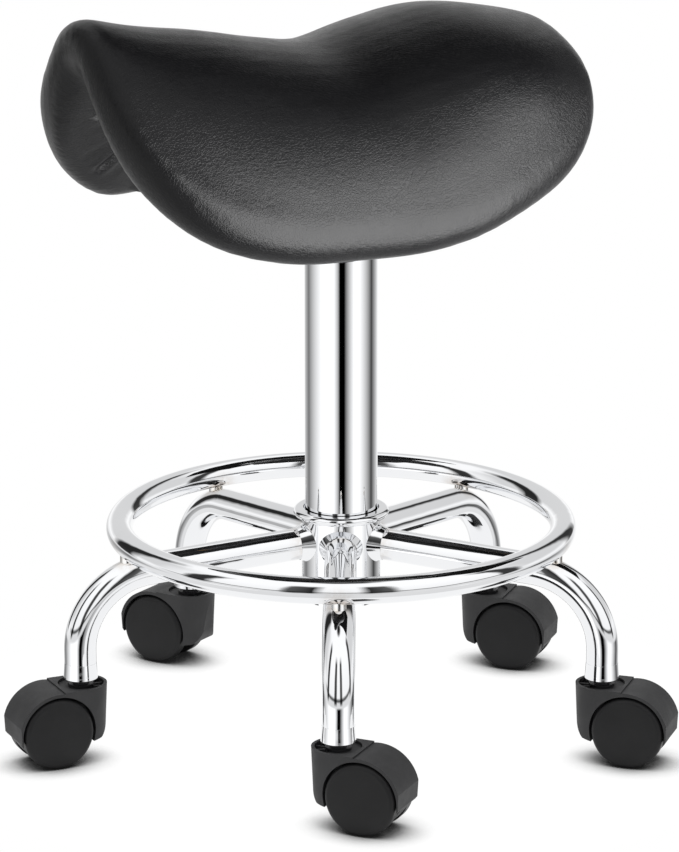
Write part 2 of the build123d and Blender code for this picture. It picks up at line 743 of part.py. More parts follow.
with BuildPart() as threaded_inserts:
    with BuildSketch(seat_level(PLATE_TOP + 0.1)):
        with Locations(BOLT_PLACES):
            Circle(INSERT_R)
            Circle(BOLT_R + PRESS_GAP, mode=Mode.SUBTRACT)
    extrude(amount=INSERT_LENGTH)
threaded_inserts.part.label = "threaded_inserts"
export_step(threaded_inserts.part, "parts/threaded_inserts.step")

with BuildPart() as seat_bolts:
    with BuildSketch(seat_level(PLATE_UNDER - 0.05)):
        with Locations(BOLT_PLACES):
            Circle(BOLT_R)
    extrude(amount=PLATE_THICK + INSERT_LENGTH)
    with BuildSketch(seat_level(PLATE_UNDER - 0.05)):
        with Locations(BOLT_PLACES):
            Circle(WASHER_R)
    extrude(amount=-WASHER_THICK)
    with BuildSketch(seat_level(PLATE_UNDER - WASHER_THICK - 0.05)):
        with Locations(BOLT_PLACES):
            RegularPolygon(radius=BOLT_HEAD_R, side_count=6)
    extrude(amount=-BOLT_HEAD_THICK)
seat_bolts.part.label = "seat_bolts"
export_step(seat_bolts.part, "parts/seat_bolts.step")

with BuildPart() as seat_plate:
    with BuildSketch(seat_level(PLATE_UNDER)):
        with Locations((PLATE_MID, 0)):
            RectangleRounded(PLATE_LENGTH, 2 * PLATE_HALF, 9)
        with Locations(BOLT_PLACES):
            Circle(BOLT_R + 0.3, mode=Mode.SUBTRACT)
    extrude(amount=PLATE_THICK)
    with BuildSketch(seat_level(PLATE_UNDER)):
        for way in (1, -1):
            with Locations((PLATE_MID, way * (PLATE_HALF - PLATE_THICK / 2))):
                Rectangle(PLATE_LENGTH - 20, PLATE_THICK)
    extrude(amount=-FLANGE_DROP)
    with BuildSketch(seat_level(CHANNEL_BOTTOM)):
        with Locations((CHANNEL_MID, 0)):
            Rectangle(CHANNEL_LENGTH, 2 * CHANNEL_HALF)
    extrude(amount=PLATE_UNDER - CHANNEL_BOTTOM)
    with BuildSketch(seat_level(CHANNEL_BOTTOM + CHANNEL_WALL)):
        with Locations((CHANNEL_MID - CHANNEL_WALL, 0)):
            Rectangle(CHANNEL_LENGTH, 2 * (CHANNEL_HALF - CHANNEL_WALL))
    extrude(amount=PLATE_UNDER - CHANNEL_BOTTOM - CHANNEL_WALL, mode=Mode.SUBTRACT)
    with BuildSketch(seat_level(CHANNEL_BOTTOM)):
        Circle(SOCKET_R + PRESS_GAP)
    extrude(amount=CHANNEL_WALL, mode=Mode.SUBTRACT)
    with BuildSketch(SEAT_SIDE):
        with Locations((PIVOT_X, LEVER_Z)):
            Circle(PIVOT_R + PRESS_GAP)
    extrude(amount=CHANNEL_HALF + 1, both=True, mode=Mode.SUBTRACT)
seat_plate.part.label = "seat_plate"
export_step(seat_plate.part, "parts/seat_plate.step")


def taper_r(z):
    """Radius of the gas cylinder's tapered top at a height."""
    fall = (CYLINDER_R - CYLINDER_TIP_R) / (CYLINDER_TOP - CYLINDER_TAPER_Z)
    return CYLINDER_R - (z - CYLINDER_TAPER_Z) * fall


with BuildPart() as taper_socket:
    socket_bottom = CYLINDER_TAPER_Z + 2
    socket_top = CHANNEL_BOTTOM + CHANNEL_WALL
    with BuildSketch(Plane.XZ):
        with BuildLine():
            Polyline(
                (taper_r(socket_bottom) + PRESS_GAP, socket_bottom),
                (SOCKET_R - 1, socket_bottom),
                (SOCKET_R, socket_bottom + 1),
                (SOCKET_R, socket_top),
                (taper_r(socket_top) + PRESS_GAP, socket_top),
                close=True,
            )
        make_face()
    revolve(axis=Axis.Z)
taper_socket.part.label = "taper_socket"
export_step(taper_socket.part, "parts/taper_socket.step")

with BuildPart() as lever_pivot:
    with BuildSketch(SEAT_SIDE):
        with Locations((PIVOT_X, LEVER_Z)):
            Circle(PIVOT_R)
    extrude(amount=CHANNEL_HALF + 1.5, both=True)
lever_pivot.part.label = "lever_pivot"
export_step(lever_pivot.part, "parts/lever_pivot.step")


# ---------------------------------------------------------------- release lever
LEVER_FRONT = 10.0
LEVER_BACK = -142.0
LEVER_BEND_FRONT = -45.0
LEVER_BEND_BACK = -85.0
LEVER_BEND_R = 25.0
GRIP_Z = LEVER_Z - 14.0
GRIP_THICK = 11.0
GRIP_WIDTH = 24.0
GRIP_FRONT = -96.0
GRIP_BACK = -150.0


def lever_line():
    """Centreline of the lever: level over the valve, down a little, then level again out to its grip."""
    with BuildLine(SEAT_SIDE) as line:
        FilletPolyline(
            (LEVER_FRONT, LEVER_Z),
            (LEVER_BEND_FRONT, LEVER_Z),
            (LEVER_BEND_BACK, GRIP_Z),
            (LEVER_BACK, GRIP_Z),
            radius=LEVER_BEND_R,
        )
    return line


with BuildPart() as release_lever:
    bend = lever_line()
    with BuildSketch(Plane(origin=bend.line @ 0, z_dir=bend.line % 0)):
        Circle(LEVER_R)
    sweep(path=bend.line)
    with BuildSketch(SEAT_SIDE):
        with Locations((PIVOT_X, LEVER_Z)):
            Circle(PIVOT_R + RUNNING_GAP)
    extrude(amount=CHANNEL_HALF, both=True, mode=Mode.SUBTRACT)
release_lever.part.label = "release_lever"
export_step(release_lever.part, "parts/release_lever.step")

with BuildPart() as lever_grip:
    with BuildSketch(seat_level(GRIP_Z - GRIP_THICK / 2)):
        with Locations(((GRIP_FRONT + GRIP_BACK) / 2, 0)):
            RectangleRounded(GRIP_FRONT - GRIP_BACK, GRIP_WIDTH, 8)
    extrude(amount=GRIP_THICK)
    fillet(lever_grip.edges().group_by(Axis.Z)[0] + lever_grip.edges().group_by(Axis.Z)[-1], radius=4)
    with BuildSketch(SEAT_SIDE):
        with Locations(((GRIP_FRONT + 1 + LEVER_BACK) / 2, GRIP_Z)):
            Rectangle(GRIP_FRONT + 1 - LEVER_BACK, LEVER_R + PRESS_GAP, align=(Align.CENTER, Align.MIN))
    revolve(axis=Axis(SEAT_SIDE.from_local_coords((0, GRIP_Z, 0)), SEAT_SIDE.x_dir), mode=Mode.SUBTRACT)
lever_grip.part.label = "lever_grip"
export_step(lever_grip.part, "parts/lever_grip.step")
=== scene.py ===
"""Looks of the adjustable saddle stool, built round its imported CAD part.

Metres, Z up, floor at z = 0. The camera looks along +Y. The seat's pommel points to the left of the view.
"""
import json
import math
import random

import bmesh
import bpy
import numpy as np
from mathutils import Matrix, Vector


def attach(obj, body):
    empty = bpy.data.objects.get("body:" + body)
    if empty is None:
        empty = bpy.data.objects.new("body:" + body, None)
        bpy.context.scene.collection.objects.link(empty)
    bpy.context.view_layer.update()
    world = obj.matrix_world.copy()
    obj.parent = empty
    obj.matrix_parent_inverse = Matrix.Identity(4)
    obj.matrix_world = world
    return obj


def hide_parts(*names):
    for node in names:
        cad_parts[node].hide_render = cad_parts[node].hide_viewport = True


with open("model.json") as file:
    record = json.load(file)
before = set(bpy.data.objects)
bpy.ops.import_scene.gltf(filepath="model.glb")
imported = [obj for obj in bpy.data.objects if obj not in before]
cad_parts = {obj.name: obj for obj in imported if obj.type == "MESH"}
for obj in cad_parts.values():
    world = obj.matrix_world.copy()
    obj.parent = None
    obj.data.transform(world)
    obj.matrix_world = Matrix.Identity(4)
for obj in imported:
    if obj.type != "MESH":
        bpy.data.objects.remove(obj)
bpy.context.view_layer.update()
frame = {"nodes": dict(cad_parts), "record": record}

MM = 0.001
scene = bpy.context.scene
nodes = frame["nodes"]
scene.view_settings.view_transform = "Standard"


# ------------------------------------------------------------------ driving sizes, from part.py, in metres
SEAT_YAW = math.radians(26.4)
SEAT_CENTRE = 20.3 * MM
SEAT_HALF = 178.8 * MM
SEAT_FLAP = 178.8 * MM
SEAT_THICK = 38.4 * MM
SEAT_CREST = ((-1.0, 474.5), (-0.78, 484), (-0.5, 490), (-0.25, 483), (0.0, 473.3),
              (0.2, 477), (0.45, 484.7), (0.75, 492), (1.0, 502))
FORWARD = np.array((-math.cos(SEAT_YAW), -math.sin(SEAT_YAW), 0.0))
SIDEWAYS = np.array((math.sin(SEAT_YAW), -math.cos(SEAT_YAW), 0.0))
OUTLINE_POWER = 2.75
THICK_TAPER = 0.05        # how much thicker the pad is at its rear end
BACK_RADIUS = (91.9, 30.6, 30.9)      # of the saddle's back, in millimetres: at s = 0, less per s and s * s
BACK_ANGLE = (0.95, 0.117, 0.024)     # that the back turns through on each side, in the same form
FLAP_SKEW = 0.009
FLAP_SPREAD = 0.037
LEG_COUNT = 5
RING_R = 153.4 * MM
RING_WELD_Z = 143 * MM
LEG_TWIST = (-0.6, 0.0, 1.6, 0.0, 0.0)
LEG_HUB_R = 30 * MM
LEG_HUB_Z = 139.5 * MM


# ------------------------------------------------------------------ mesh shorthand
def linked(name, mesh):
    """A new object in the scene for the mesh."""
    piece = bpy.data.objects.new(name, mesh)
    scene.collection.objects.link(piece)
    return piece


def mesh_of(name, work):
    """A mesh made from the bmesh, which is freed."""
    mesh = bpy.data.meshes.new(name)
    work.to_mesh(mesh)
    work.free()
    return mesh


# ------------------------------------------------------------------ node-tree shorthand
class Look:
    """One material, with short calls for the nodes that give it its detail."""

    def __init__(self, name, colour, rough, metallic=0.0, specular=0.5):
        self.material = bpy.data.materials.new(name)
        self.material.use_nodes = True
        self.tree = self.material.node_tree
        self.shader = self.tree.nodes["Principled BSDF"]
        self.shader.inputs["Base Color"].default_value = (*colour, 1)
        self.shader.inputs["Roughness"].default_value = rough
        self.shader.inputs["Metallic"].default_value = metallic
        self.shader.inputs["Specular IOR Level"].default_value = specular
        self.place = self.node("ShaderNodeTexCoord").outputs["Object"]

    def node(self, kind, **inputs):
        made = self.tree.nodes.new(kind)
        for key, value in inputs.items():
            self.put(made.inputs[key.replace("_", " ")], value)
        return made

    def put(self, socket, value):
        if isinstance(value, bpy.types.NodeSocket):
            self.tree.links.new(value, socket)
        else:
            socket.default_value = value

    def stretched(self, scale):
        """Object coordinates scaled by (x, y, z), for grain that runs one way."""
        made = self.node("ShaderNodeMapping", Vector=self.place)
        made.inputs["Scale"].default_value = scale
        return made.outputs["Vector"]

    def noise(self, scale, detail=3.0, roughness=0.5, place=None):
        made = self.node("ShaderNodeTexNoise", Scale=scale, Detail=detail, Roughness=roughness)
        self.put(made.inputs["Vector"], place or self.place)
        return made.outputs["Fac"]

    def cells(self, scale, feature="F1", place=None):
        made = self.node("ShaderNodeTexVoronoi", Scale=scale)
        made.feature = feature
        self.put(made.inputs["Vector"], place or self.place)
        return made.outputs["Distance"]

    def near(self, point, inner, outer):
        """1 within inner of a point, falling to 0 at outer."""
        distance = self.node("ShaderNodeVectorMath")
        distance.operation = "DISTANCE"
        self.put(distance.inputs[0], self.place)
        distance.inputs[1].default_value = point
        return self.ranged(distance.outputs["Value"], inner, outer, 1.0, 0.0)

    def ranged(self, value, from_low, from_high, to_low, to_high):
        made = self.node("ShaderNodeMapRange")
        made.interpolation_type = "SMOOTHSTEP"
        for socket, number in zip(made.inputs[:5], (value, from_low, from_high, to_low, to_high)):
            self.put(socket, number)
        return made.outputs["Result"]

    def math(self, operation, a, b):
        made = self.node("ShaderNodeMath")
        made.operation = operation
        self.put(made.inputs[0], a)
        self.put(made.inputs[1], b)
        return made.outputs["Value"]

    def blend(self, factor, a, b):
        made = self.node("ShaderNodeMix")
        made.data_type = "RGBA"
        for socket, value in zip((made.inputs["Factor"], made.inputs[6], made.inputs[7]), (factor, a, b)):
            self.put(socket, value if isinstance(value, (bpy.types.NodeSocket, float)) else (*value, 1))
        return made.outputs[2]

    def colour(self, source):
        self.put(self.shader.inputs["Base Color"], source)

    def rough(self, source):
        self.put(self.shader.inputs["Roughness"], source)

    def bump(self, *layers):
        """Bump from (height, distance in metres, strength) layers, one on top of the other."""
        normal = None
        for height, distance, strength in layers:
            made = self.node("ShaderNodeBump", Height=height, Distance=distance, Strength=strength)
            if normal:
                self.put(made.inputs["Normal"], normal)
            normal = made.outputs["Normal"]
        self.put(self.shader.inputs["Normal"], normal)


# ------------------------------------------------------------------ materials
def leg_direction(index):
    """Unit vector out along leg 1 to 5."""
    a = math.radians(-90 + (index - 1) * 360 / LEG_COUNT + LEG_TWIST[index - 1])
    return Vector((math.cos(a), math.sin(a), 0))


def chrome(name, waviness=1.0, blur=0.014, tints=()):
    """Chrome plate: slightly rippled, with faint haze, and heat-tinted close to the given weld points."""
    look = Look(name, (0.86, 0.865, 0.88), blur, metallic=1.0)
    haze = look.noise(38, 4, 0.6)
    look.rough(look.ranged(haze, 0.35, 0.75, blur, 2 * blur))
    plate = look.blend(look.noise(16, 2), (0.84, 0.85, 0.87), (0.88, 0.885, 0.895))
    smoke = look.noise(260, 3, 0.7)
    for point, reach in tints:
        browned = look.ranged(smoke, 0.3, 0.6, 0.06, 0.45)
        mask = look.math("MULTIPLY", look.near(point, 0.3 * reach, reach), browned)
        plate = look.blend(mask, plate, (0.42, 0.31, 0.20))
    look.colour(plate)
    look.bump((look.noise(60, 1, 0.4), 0.0016 * waviness, 0.10),
              (look.noise(900, 2, 0.5), 0.00006, 0.05))
    return look.material


def weld_metal(name):
    """Plated weld bead: chrome over a rippled bead, browned by the heat."""
    look = Look(name, (0.6, 0.55, 0.48), 0.2, metallic=1.0)
    look.colour(look.blend(look.ranged(look.noise(120, 3, 0.6), 0.42, 0.62, 0.0, 1.0),
                           (0.82, 0.82, 0.82), (0.72, 0.67, 0.60)))
    look.rough(look.ranged(look.noise(420, 2), 0.3, 0.7, 0.06, 0.16))
    look.bump((look.noise(260, 3, 0.6), 0.0005, 0.2))
    return look.material


PEBBLES_PER_METRE = 500.0


def leather(name):
    """Satin black synthetic leather with a fine pebble grain, whose cells wander a little off the round."""
    look = Look(name, (0.003, 0.003, 0.0032), 0.30, specular=0.17)
    look.colour(look.blend(look.noise(24, 3), (0.0012, 0.0012, 0.0014), (0.0022, 0.0022, 0.0024)))
    wander = look.node("ShaderNodeVectorMath")
    wander.operation = "ADD"
    drift = look.node("ShaderNodeTexNoise", Scale=420.0, Detail=2.0)
    shrunk = look.node("ShaderNodeVectorMath")
    shrunk.operation = "SCALE"
    look.put(shrunk.inputs[0], drift.outputs["Color"])
    shrunk.inputs["Scale"].default_value = 0.0009
    look.put(drift.inputs["Vector"], look.place)
    look.put(wander.inputs[0], look.place)
    look.put(wander.inputs[1], shrunk.outputs["Vector"])
    spot = wander.outputs["Vector"]
    pebble = look.cells(PEBBLES_PER_METRE, "SMOOTH_F1", spot)
    crease = look.ranged(look.cells(PEBBLES_PER_METRE, "DISTANCE_TO_EDGE", spot), 0.0, 0.16, 0.0, 1.0)
    look.rough(look.ranged(look.noise(75, 4, 0.6), 0.3, 0.7, 0.28, 0.33))
    look.bump((look.noise(110, 3, 0.55), 0.0008, 0.12),
              (crease, 0.00022, 0.4),
              (pebble, 0.0004, 0.3),
              (look.noise(2600, 2, 0.5), 0.00005, 0.2))
    return look.material


def moulding(name, colour, rough, specular, texture=0.3, worn=1.25):
    """Black moulded plastic: fine spark-eroded texture, slight mottling and paler rubbed patches."""
    look = Look(name, colour, rough, specular=specular)
    pale = tuple(worn * c for c in colour)
    look.colour(look.blend(look.ranged(look.noise(34, 5, 0.62), 0.42, 0.72, 0.0, 1.0), colour, pale))
    look.rough(look.ranged(look.noise(90, 4, 0.6), 0.3, 0.7, rough - 0.04, rough + 0.05))
    look.bump((look.noise(45, 2, 0.4), 0.0006, 0.08),
              (look.noise(2400, 2, 0.6), 0.00007, texture))
    return look.material


def steel(name, colour, rough, turned=(1.0, 1.0, 14.0)):
    """Machined or plated steel: fine tool lines, faint stains."""
    look = Look(name, colour, rough, metallic=1.0)
    lines = look.noise(600, 2, 0.6, look.stretched(turned))
    look.colour(look.blend(look.noise(70, 4, 0.6), tuple(0.82 * c for c in colour), colour))
    look.rough(look.ranged(lines, 0.3, 0.7, rough - 0.05, rough + 0.08))
    look.bump((lines, 0.00006, 0.4))
    return look.material


def painted_steel(name):
    """Black powder coat: fine orange peel and satin sheen."""
    look = Look(name, (0.02, 0.02, 0.021), 0.38, specular=0.5)
    look.colour(look.blend(look.noise(50, 4), (0.016, 0.016, 0.017), (0.03, 0.03, 0.031)))
    look.rough(look.ranged(look.noise(130, 3), 0.3, 0.7, 0.32, 0.45))
    look.bump((look.noise(900, 2, 0.5), 0.00015, 0.3))
    return look.material


def bent_plywood(name):
    """Bare plywood: thin plies seen at the edges, long grain on the faces."""
    look = Look(name, (0.45, 0.31, 0.18), 0.6, specular=0.3)
    grain = look.noise(90, 4, 0.6, look.stretched((1.0, 9.0, 5.0)))
    plies = look.node("ShaderNodeTexWave", Scale=190.0, Distortion=0.6, Detail=2.0)
    plies.bands_direction = "Z"
    look.put(plies.inputs["Vector"], look.place)
    wood = look.blend(grain, (0.50, 0.36, 0.21), (0.33, 0.21, 0.11))
    look.colour(look.blend(look.ranged(plies.outputs["Fac"], 0.3, 0.7, 0.0, 0.6), wood, (0.24, 0.15, 0.08)))
    look.rough(look.ranged(grain, 0.3, 0.7, 0.52, 0.68))
    look.bump((grain, 0.0002, 0.4), (plies.outputs["Fac"], 0.0001, 0.3))
    return look.material


def rubber(name):
    """Dull black rubber."""
    look = Look(name, (0.02, 0.02, 0.02), 0.7, specular=0.35)
    look.colour(look.blend(look.noise(60, 3), (0.016, 0.016, 0.016), (0.03, 0.03, 0.03)))
    look.rough(look.ranged(look.noise(140, 3), 0.3, 0.7, 0.62, 0.8))
    look.bump((look.noise(1300, 2), 0.00008, 0.4))
    return look.material


WELD_TINT_REACH = 17 * MM


def weld_tints(radius, height):
    """The place of each leg's weld at this radius and height, with how far its heat tint reaches."""
    return [(tuple(leg_direction(i) * radius + Vector((0, 0, height))), WELD_TINT_REACH)
            for i in range(1, LEG_COUNT + 1)]


ring_welds = weld_tints(RING_R, RING_WELD_Z)
hub_tints = weld_tints(LEG_HUB_R, LEG_HUB_Z)

looks = {
    "chrome": chrome("chrome_plate"),
    "weld": weld_metal("plated_weld"),
    "steel": steel("zinc_plated_steel", (0.55, 0.55, 0.57), 0.28),
    "dark_steel": painted_steel("black_powder_coat"),
    "leatherette": leather("black_leather"),
    "plywood": bent_plywood("plywood"),
    "shell_black": moulding("shell_moulding", (0.014, 0.014, 0.0145), 0.55, 0.4, 0.35),
    "housing_black": moulding("housing_moulding", (0.026, 0.026, 0.027), 0.56, 0.36, 0.45),
    "wheel_black": moulding("wheel_moulding", (0.011, 0.011, 0.0115), 0.42, 0.22, 0.22),
    "nylon": moulding("natural_nylon", (0.66, 0.64, 0.58), 0.45, 0.4, 0.2, 1.08),
    "rubber": rubber("black_rubber"),
    # Dark steel for the caster stems, which sit in the legs' sockets.
    "black_oxide": steel("darkened_stem_steel", (0.10, 0.10, 0.105), 0.35),
}
own_looks = {
    "hub_welds": chrome("hub_weld_chrome", waviness=2.0),
    "column_tube": chrome("column_chrome", waviness=0.0, blur=0.02),
    "hub": chrome("hub_chrome", waviness=0.9, tints=hub_tints),
    "footrest_ring": chrome("ring_chrome", waviness=1.2, tints=ring_welds),
}
for i in range(1, LEG_COUNT + 1):
    own_looks[f"caster_{i}_stem"] = looks["black_oxide"]
    own_looks[f"leg_{i}"] = chrome(f"leg_{i}_chrome", waviness=1.4,
                                   tints=(ring_welds[i - 1], hub_tints[i - 1]))

# The ring isn't mirrored in the column, to keep the column's reflections plain.
nodes["footrest_ring"].visible_glossy = False
slot_of = {part["node"]: part["material_slot"] for part in frame["record"]["subparts"]}
for name, node in nodes.items():
    for material_slot in node.material_slots:
        material_slot.material = own_looks.get(name, looks[slot_of[name]])


# ------------------------------------------------------------------ saddle shape
def smooth(x, low, high):
    t = np.clip((x - low) / (high - low), 0, 1)
    return t * t * (3 - 2 * t)


# How far the cover's rim stands above the CAD pad's, then how much shorter the near flap is, as
# (s, millimetres).
RIM_NEAR = ((-1, 3), (-0.85, 2.5), (-0.55, -1), (-0.3, 0), (-0.15, 1.8), (0.1, 4), (0.4, 0.5), (0.7, 0),
            (1, 0))
RIM_FAR = ((-1, 3), (-0.85, 4.5), (-0.55, -2), (-0.15, 5), (0.1, 6), (0.4, 8), (0.62, -2.5), (0.8, -3),
           (1, -3))
TRIM_NEAR = ((-1, -1), (-0.65, 2.6), (-0.4, -0.6), (-0.2, 0.8), (0, 5.8), (0.15, 4.7), (0.33, 2.6),
             (0.5, 0.3), (0.85, -3), (1, -3))
MOST_TRIM = 0.2        # of the flap's length at any station
END_SHARE = 0.94       # of the way along the pad that its rim's distance shrinks by, towards the ends


def through(points, s):
    """Smooth curve through (s, millimetres) points, in metres."""
    xs = np.array([p[0] for p in points])
    ys = np.array([p[1] for p in points]) * MM
    slopes = np.gradient(ys, xs)
    k = np.clip(np.searchsorted(xs, s, side="right") - 1, 0, len(xs) - 2)
    span = xs[k + 1] - xs[k]
    t = (s - xs[k]) / span
    a, b = slopes[k] * span, slopes[k + 1] * span
    rise = ys[k + 1] - ys[k]
    return (((a + b - 2 * rise) * t + 3 * rise - 2 * a - b) * t + a) * t + ys[k]


def crest_height(s):
    """Height of the pad's mid-surface on its centreline."""
    return through(SEAT_CREST, s)


def rim_lift(s, across):
    """How far the cover stands above the CAD pad: nothing at the crest, most near the rim."""
    share = smooth(np.abs(across) / np.maximum(half_width(s, across), 1e-6), 0.25, 0.95)
    return share * np.where(across > 0, through(RIM_NEAR, s), through(RIM_FAR, s))


def bend(s):
    """Radius and total angle of the saddle's back at s."""
    radius, radius_slope, radius_curve = BACK_RADIUS
    angle, angle_slope, angle_curve = BACK_ANGLE
    return ((radius - radius_slope * s - radius_curve * s * s) * MM,
            angle - angle_slope * s - angle_curve * s * s)


def half_width(s, across):
    """Length of the pad's mid-surface from its centreline to its rim at s, trimmed on the near flap."""
    held = np.clip(s, -1, 1)
    plan = (1 - np.abs(held) ** OUTLINE_POWER) ** (1 / OUTLINE_POWER)
    trim = np.where(across > 0, through(TRIM_NEAR, held), 0.0)
    whole = SEAT_FLAP * (1 + FLAP_SKEW * s + FLAP_SPREAD * s * s) * plan
    return whole - np.minimum(trim, MOST_TRIM * SEAT_FLAP * plan)


def thickness(s):
    """Thickness of the pad at s, away from its edges."""
    return SEAT_THICK * (1 + THICK_TAPER * s)


def saddle_place(s, across, off):
    """World point at station s, a distance across the mid-surface, lifted off it."""
    radius, most = bend(s)
    turn = np.minimum(np.abs(across) / radius, most)
    straight = np.abs(across) - turn * radius
    out = (radius + off) * np.sin(turn) + straight * np.cos(turn)
    down = radius - (radius + off) * np.cos(turn) + straight * np.sin(turn)
    z = crest_height(s) - down + rim_lift(s, across)
    along = SEAT_CENTRE + s * SEAT_HALF
    flat = along[..., None] * FORWARD + (np.sign(across) * out)[..., None] * SIDEWAYS
    return flat + z[..., None] * np.array((0, 0, 1.0))


def saddle_coords(points):
    """The inverse of saddle_place: station, distance across and lift of each world point."""
    s = (points @ FORWARD - SEAT_CENTRE) / SEAT_HALF
    lateral = points @ SIDEWAYS
    held = np.clip(s, -1, 1)
    radius, most = bend(held)
    guess = np.sign(lateral) * np.minimum(np.abs(lateral) * 1.25, half_width(held, lateral))
    up = points[:, 2] - rim_lift(held, guess) - crest_height(held) + radius
    angle = np.arctan2(np.abs(lateral), up)
    past = angle > most
    lean_out = np.abs(lateral) - radius * np.sin(most)
    lean_up = up - radius * np.cos(most)
    straight = lean_out * np.cos(most) - lean_up * np.sin(most)
    across = np.where(past, radius * most + straight, angle * radius)
    off = np.where(past, lean_out * np.sin(most) + lean_up * np.cos(most), np.hypot(lateral, up) - radius)
    return s, np.sign(lateral) * across, off


# ------------------------------------------------------------------ cushion
WRAP_WIDTH = 62 * MM          # of the cover that is wrapped under, from the rim to its hem
WRAP_STEP = 9.5 * MM          # how far the bare underside inside the hem is drawn in
HEM_SLOPE = 7 * MM
SKIN_BELOW = 1.4 * MM         # of the cover under the shell
CROWN = 7 * MM                # of padding on the outer faces of the flaps
START_INSET = 0.4 * MM        # taken off before the cloth pass, which swells the pad
STATIONS = 110
AROUND = 84
END_ANGLE = 0.035             # keeps the first and last station clear of the tips, in radians
LEAST_HALF = 0.4 * MM


def rim_distance(s, across):
    """Rough distance from the pad's rim, along its surface."""
    return np.minimum(half_width(s, across) - np.abs(across), (1 - np.abs(s)) * SEAT_HALF * END_SHARE)


def pad_points(inset):
    """World points of the pad's skin: a row round its section at each station along it."""
    s_all = -np.cos(np.linspace(END_ANGLE, math.pi - END_ANGLE, STATIONS)) * (1 - inset / SEAT_HALF)
    ring = np.linspace(0, 2 * math.pi, AROUND, endpoint=False)
    s = np.repeat(s_all[:, None], AROUND, 1)
    face = np.where(np.sin(ring) >= 0, 1.0, -1.0)[None, :] * np.ones_like(s)
    thick = thickness(s) - 2 * inset
    lean = np.cos(ring)[None, :] * np.ones_like(s)
    half = np.maximum(half_width(s, lean) - inset, LEAST_HALF)
    across = half * lean
    end = np.clip(((1 - np.abs(s)) * SEAT_HALF - inset) / (thick / 2), 0, 1)
    edge = np.clip((half - np.abs(across)) / (thick / 2), 0, 1)
    depth = thick * np.sqrt(1 - (1 - end) ** 2) * np.sqrt(1 - (1 - edge) ** 2)
    hollow = smooth(rim_distance(s, across), WRAP_WIDTH, WRAP_WIDTH + HEM_SLOPE) * WRAP_STEP
    share = np.abs(across) / half
    bulge = smooth(share, 0.05, 0.5) * (1 - smooth(share, 0.5, 0.98))
    crown = CROWN * bulge * smooth(1 - np.abs(s), 0.0, 0.35)
    off = np.where(face > 0, depth / 2 + crown, -depth / 2 - (SKIN_BELOW + inset) * end + hollow)
    return saddle_place(s, across, off).reshape(-1, 3)


def pad_mesh(name, inset):
    """The covered pad: a round-edged saddle sheet whose cover wraps under to a hem round the bare shell."""
    faces = []
    for row in range(0, (STATIONS - 1) * AROUND, AROUND):
        for j in range(AROUND):
            k = (j + 1) % AROUND
            faces.append((row + j, row + k, row + AROUND + k, row + AROUND + j))
    faces.append(tuple(range(AROUND - 1, -1, -1)))
    faces.append(tuple(range((STATIONS - 1) * AROUND, STATIONS * AROUND)))
    mesh = bpy.data.meshes.new(name)
    mesh.from_pydata([tuple(point) for point in pad_points(inset)], [], faces)
    mesh.validate()
    piece = linked(name, mesh)
    fix_normals(mesh)
    return piece


def fix_normals(mesh):
    """Joins doubled points and turns every face outward."""
    work = bmesh.new()
    work.from_mesh(mesh)
    bmesh.ops.remove_doubles(work, verts=work.verts, dist=0.02 * MM)
    bmesh.ops.recalc_face_normals(work, faces=work.faces)
    work.to_mesh(mesh)
    work.free()


def apply_modifiers(piece):
    """Bakes the piece's modifiers into its mesh."""
    graph = bpy.context.evaluated_depsgraph_get()
    mesh = bpy.data.meshes.new_from_object(piece.evaluated_get(graph))
    piece.modifiers.clear()
    piece.data = mesh


def coordinates(mesh):
    """The mesh's points, one row each."""
    flat = np.empty(len(mesh.vertices) * 3)
    mesh.vertices.foreach_get("co", flat)
    return flat.reshape(-1, 3)


def set_coordinates(mesh, points):
    """Moves the mesh's points."""
    mesh.vertices.foreach_set("co", points.astype(np.float32).ravel())
    mesh.update()


def remesh(piece, voxel):
    """Gives the piece even faces, one voxel across."""
    work = piece.modifiers.new("remesh", "REMESH")
    work.mode = "VOXEL"
    work.voxel_size = voxel
    apply_modifiers(piece)


def smoothed(mesh, field, rounds):
    """The field averaged over each point's neighbours, again and again."""
    pairs = np.empty(len(mesh.edges) * 2, dtype=np.int32)
    mesh.edges.foreach_get("vertices", pairs)
    one, other = pairs.reshape(-1, 2).T
    count = np.bincount(pairs, minlength=len(field))[:, None]
    for _ in range(rounds):
        total = np.zeros_like(field)
        np.add.at(total, one, field[other])
        np.add.at(total, other, field[one])
        field = total / np.maximum(count, 1)
    return field


VOXEL = 4.5 * MM
CLOTH_FRAMES = 20
PUFF_CAP = 5 * MM             # the furthest that the cloth pass may move a point
EVEN_ROUNDS = 30
WRINKLE_SHARE = 0.05          # of the cloth pass's small wrinkles that is kept
HELD_BELOW = 4 * MM           # the mid-surface, where the cover is tacked to the shell


